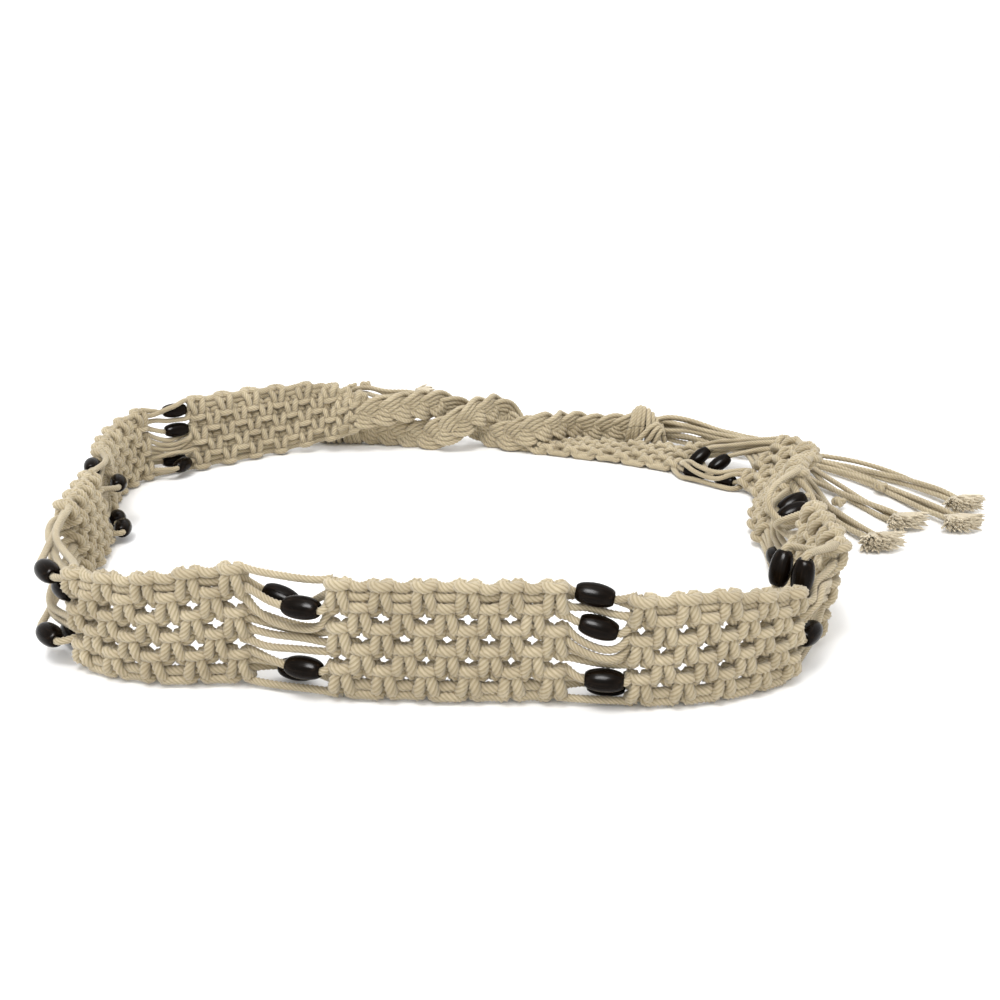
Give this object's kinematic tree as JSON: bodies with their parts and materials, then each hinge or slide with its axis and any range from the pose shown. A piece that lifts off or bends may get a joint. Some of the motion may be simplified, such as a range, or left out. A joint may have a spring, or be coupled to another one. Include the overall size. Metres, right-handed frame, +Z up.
{
  "type": "crochet belt",
  "caption": "Openwork knotted cord belt for the waist, with drilled wooden beads in the gaps between its woven panels and a plaited, knotted and frayed tie at each end.",
  "frame": {"origin": "on the surface that the belt stands on, below the middle of its outline seen from above", "axes": "+Z up across the band's width, -Y towards the front of the belt, opposite the ties, and +X to the right of somebody facing the front"},
  "size_m": [0.5494, 0.4362, 0.0551],
  "materials": {
    "cotton_cord": "natural twisted cotton, matt",
    "dark_wood": "near-black stained wood, semi-gloss lacquer"
  },
  "bodies": {
    "root": {"woven_panel_1": "cotton_cord", "woven_panel_2": "cotton_cord", "woven_panel_3": "cotton_cord", "woven_panel_4": "cotton_cord", "woven_panel_5": "cotton_cord", "woven_panel_6": "cotton_cord", "woven_panel_7": "cotton_cord", "woven_panel_8": "cotton_cord", "woven_panel_9": "cotton_cord", "plaited_tie_left": "cotton_cord", "plaited_tie_right": "cotton_cord", "knotted_tassel_left": "cotton_cord", "knotted_tassel_right": "cotton_cord", "bead_1_1": "dark_wood", "bead_1_2": "dark_wood", "bead_1_3": "dark_wood", "bead_1_4": "dark_wood", "bead_2_1": "dark_wood", "bead_2_2": "dark_wood", "bead_2_3": "dark_wood", "bead_2_4": "dark_wood", "bead_3_1": "dark_wood", "bead_3_2": "dark_wood", "bead_3_3": "dark_wood", "bead_3_4": "dark_wood", "bead_4_1": "dark_wood", "bead_4_2": "dark_wood", "bead_4_3": "dark_wood", "bead_4_4": "dark_wood", "bead_5_1": "dark_wood", "bead_5_2": "dark_wood", "bead_5_3": "dark_wood", "bead_5_4": "dark_wood", "bead_6_1": "dark_wood", "bead_6_2": "dark_wood", "bead_6_3": "dark_wood", "bead_6_4": "dark_wood", "bead_7_1": "dark_wood", "bead_7_2": "dark_wood", "bead_7_3": "dark_wood", "bead_7_4": "dark_wood", "bead_8_1": "dark_wood", "bead_8_2": "dark_wood", "bead_8_3": "dark_wood", "bead_8_4": "dark_wood"}
  },
  "joints": []
}
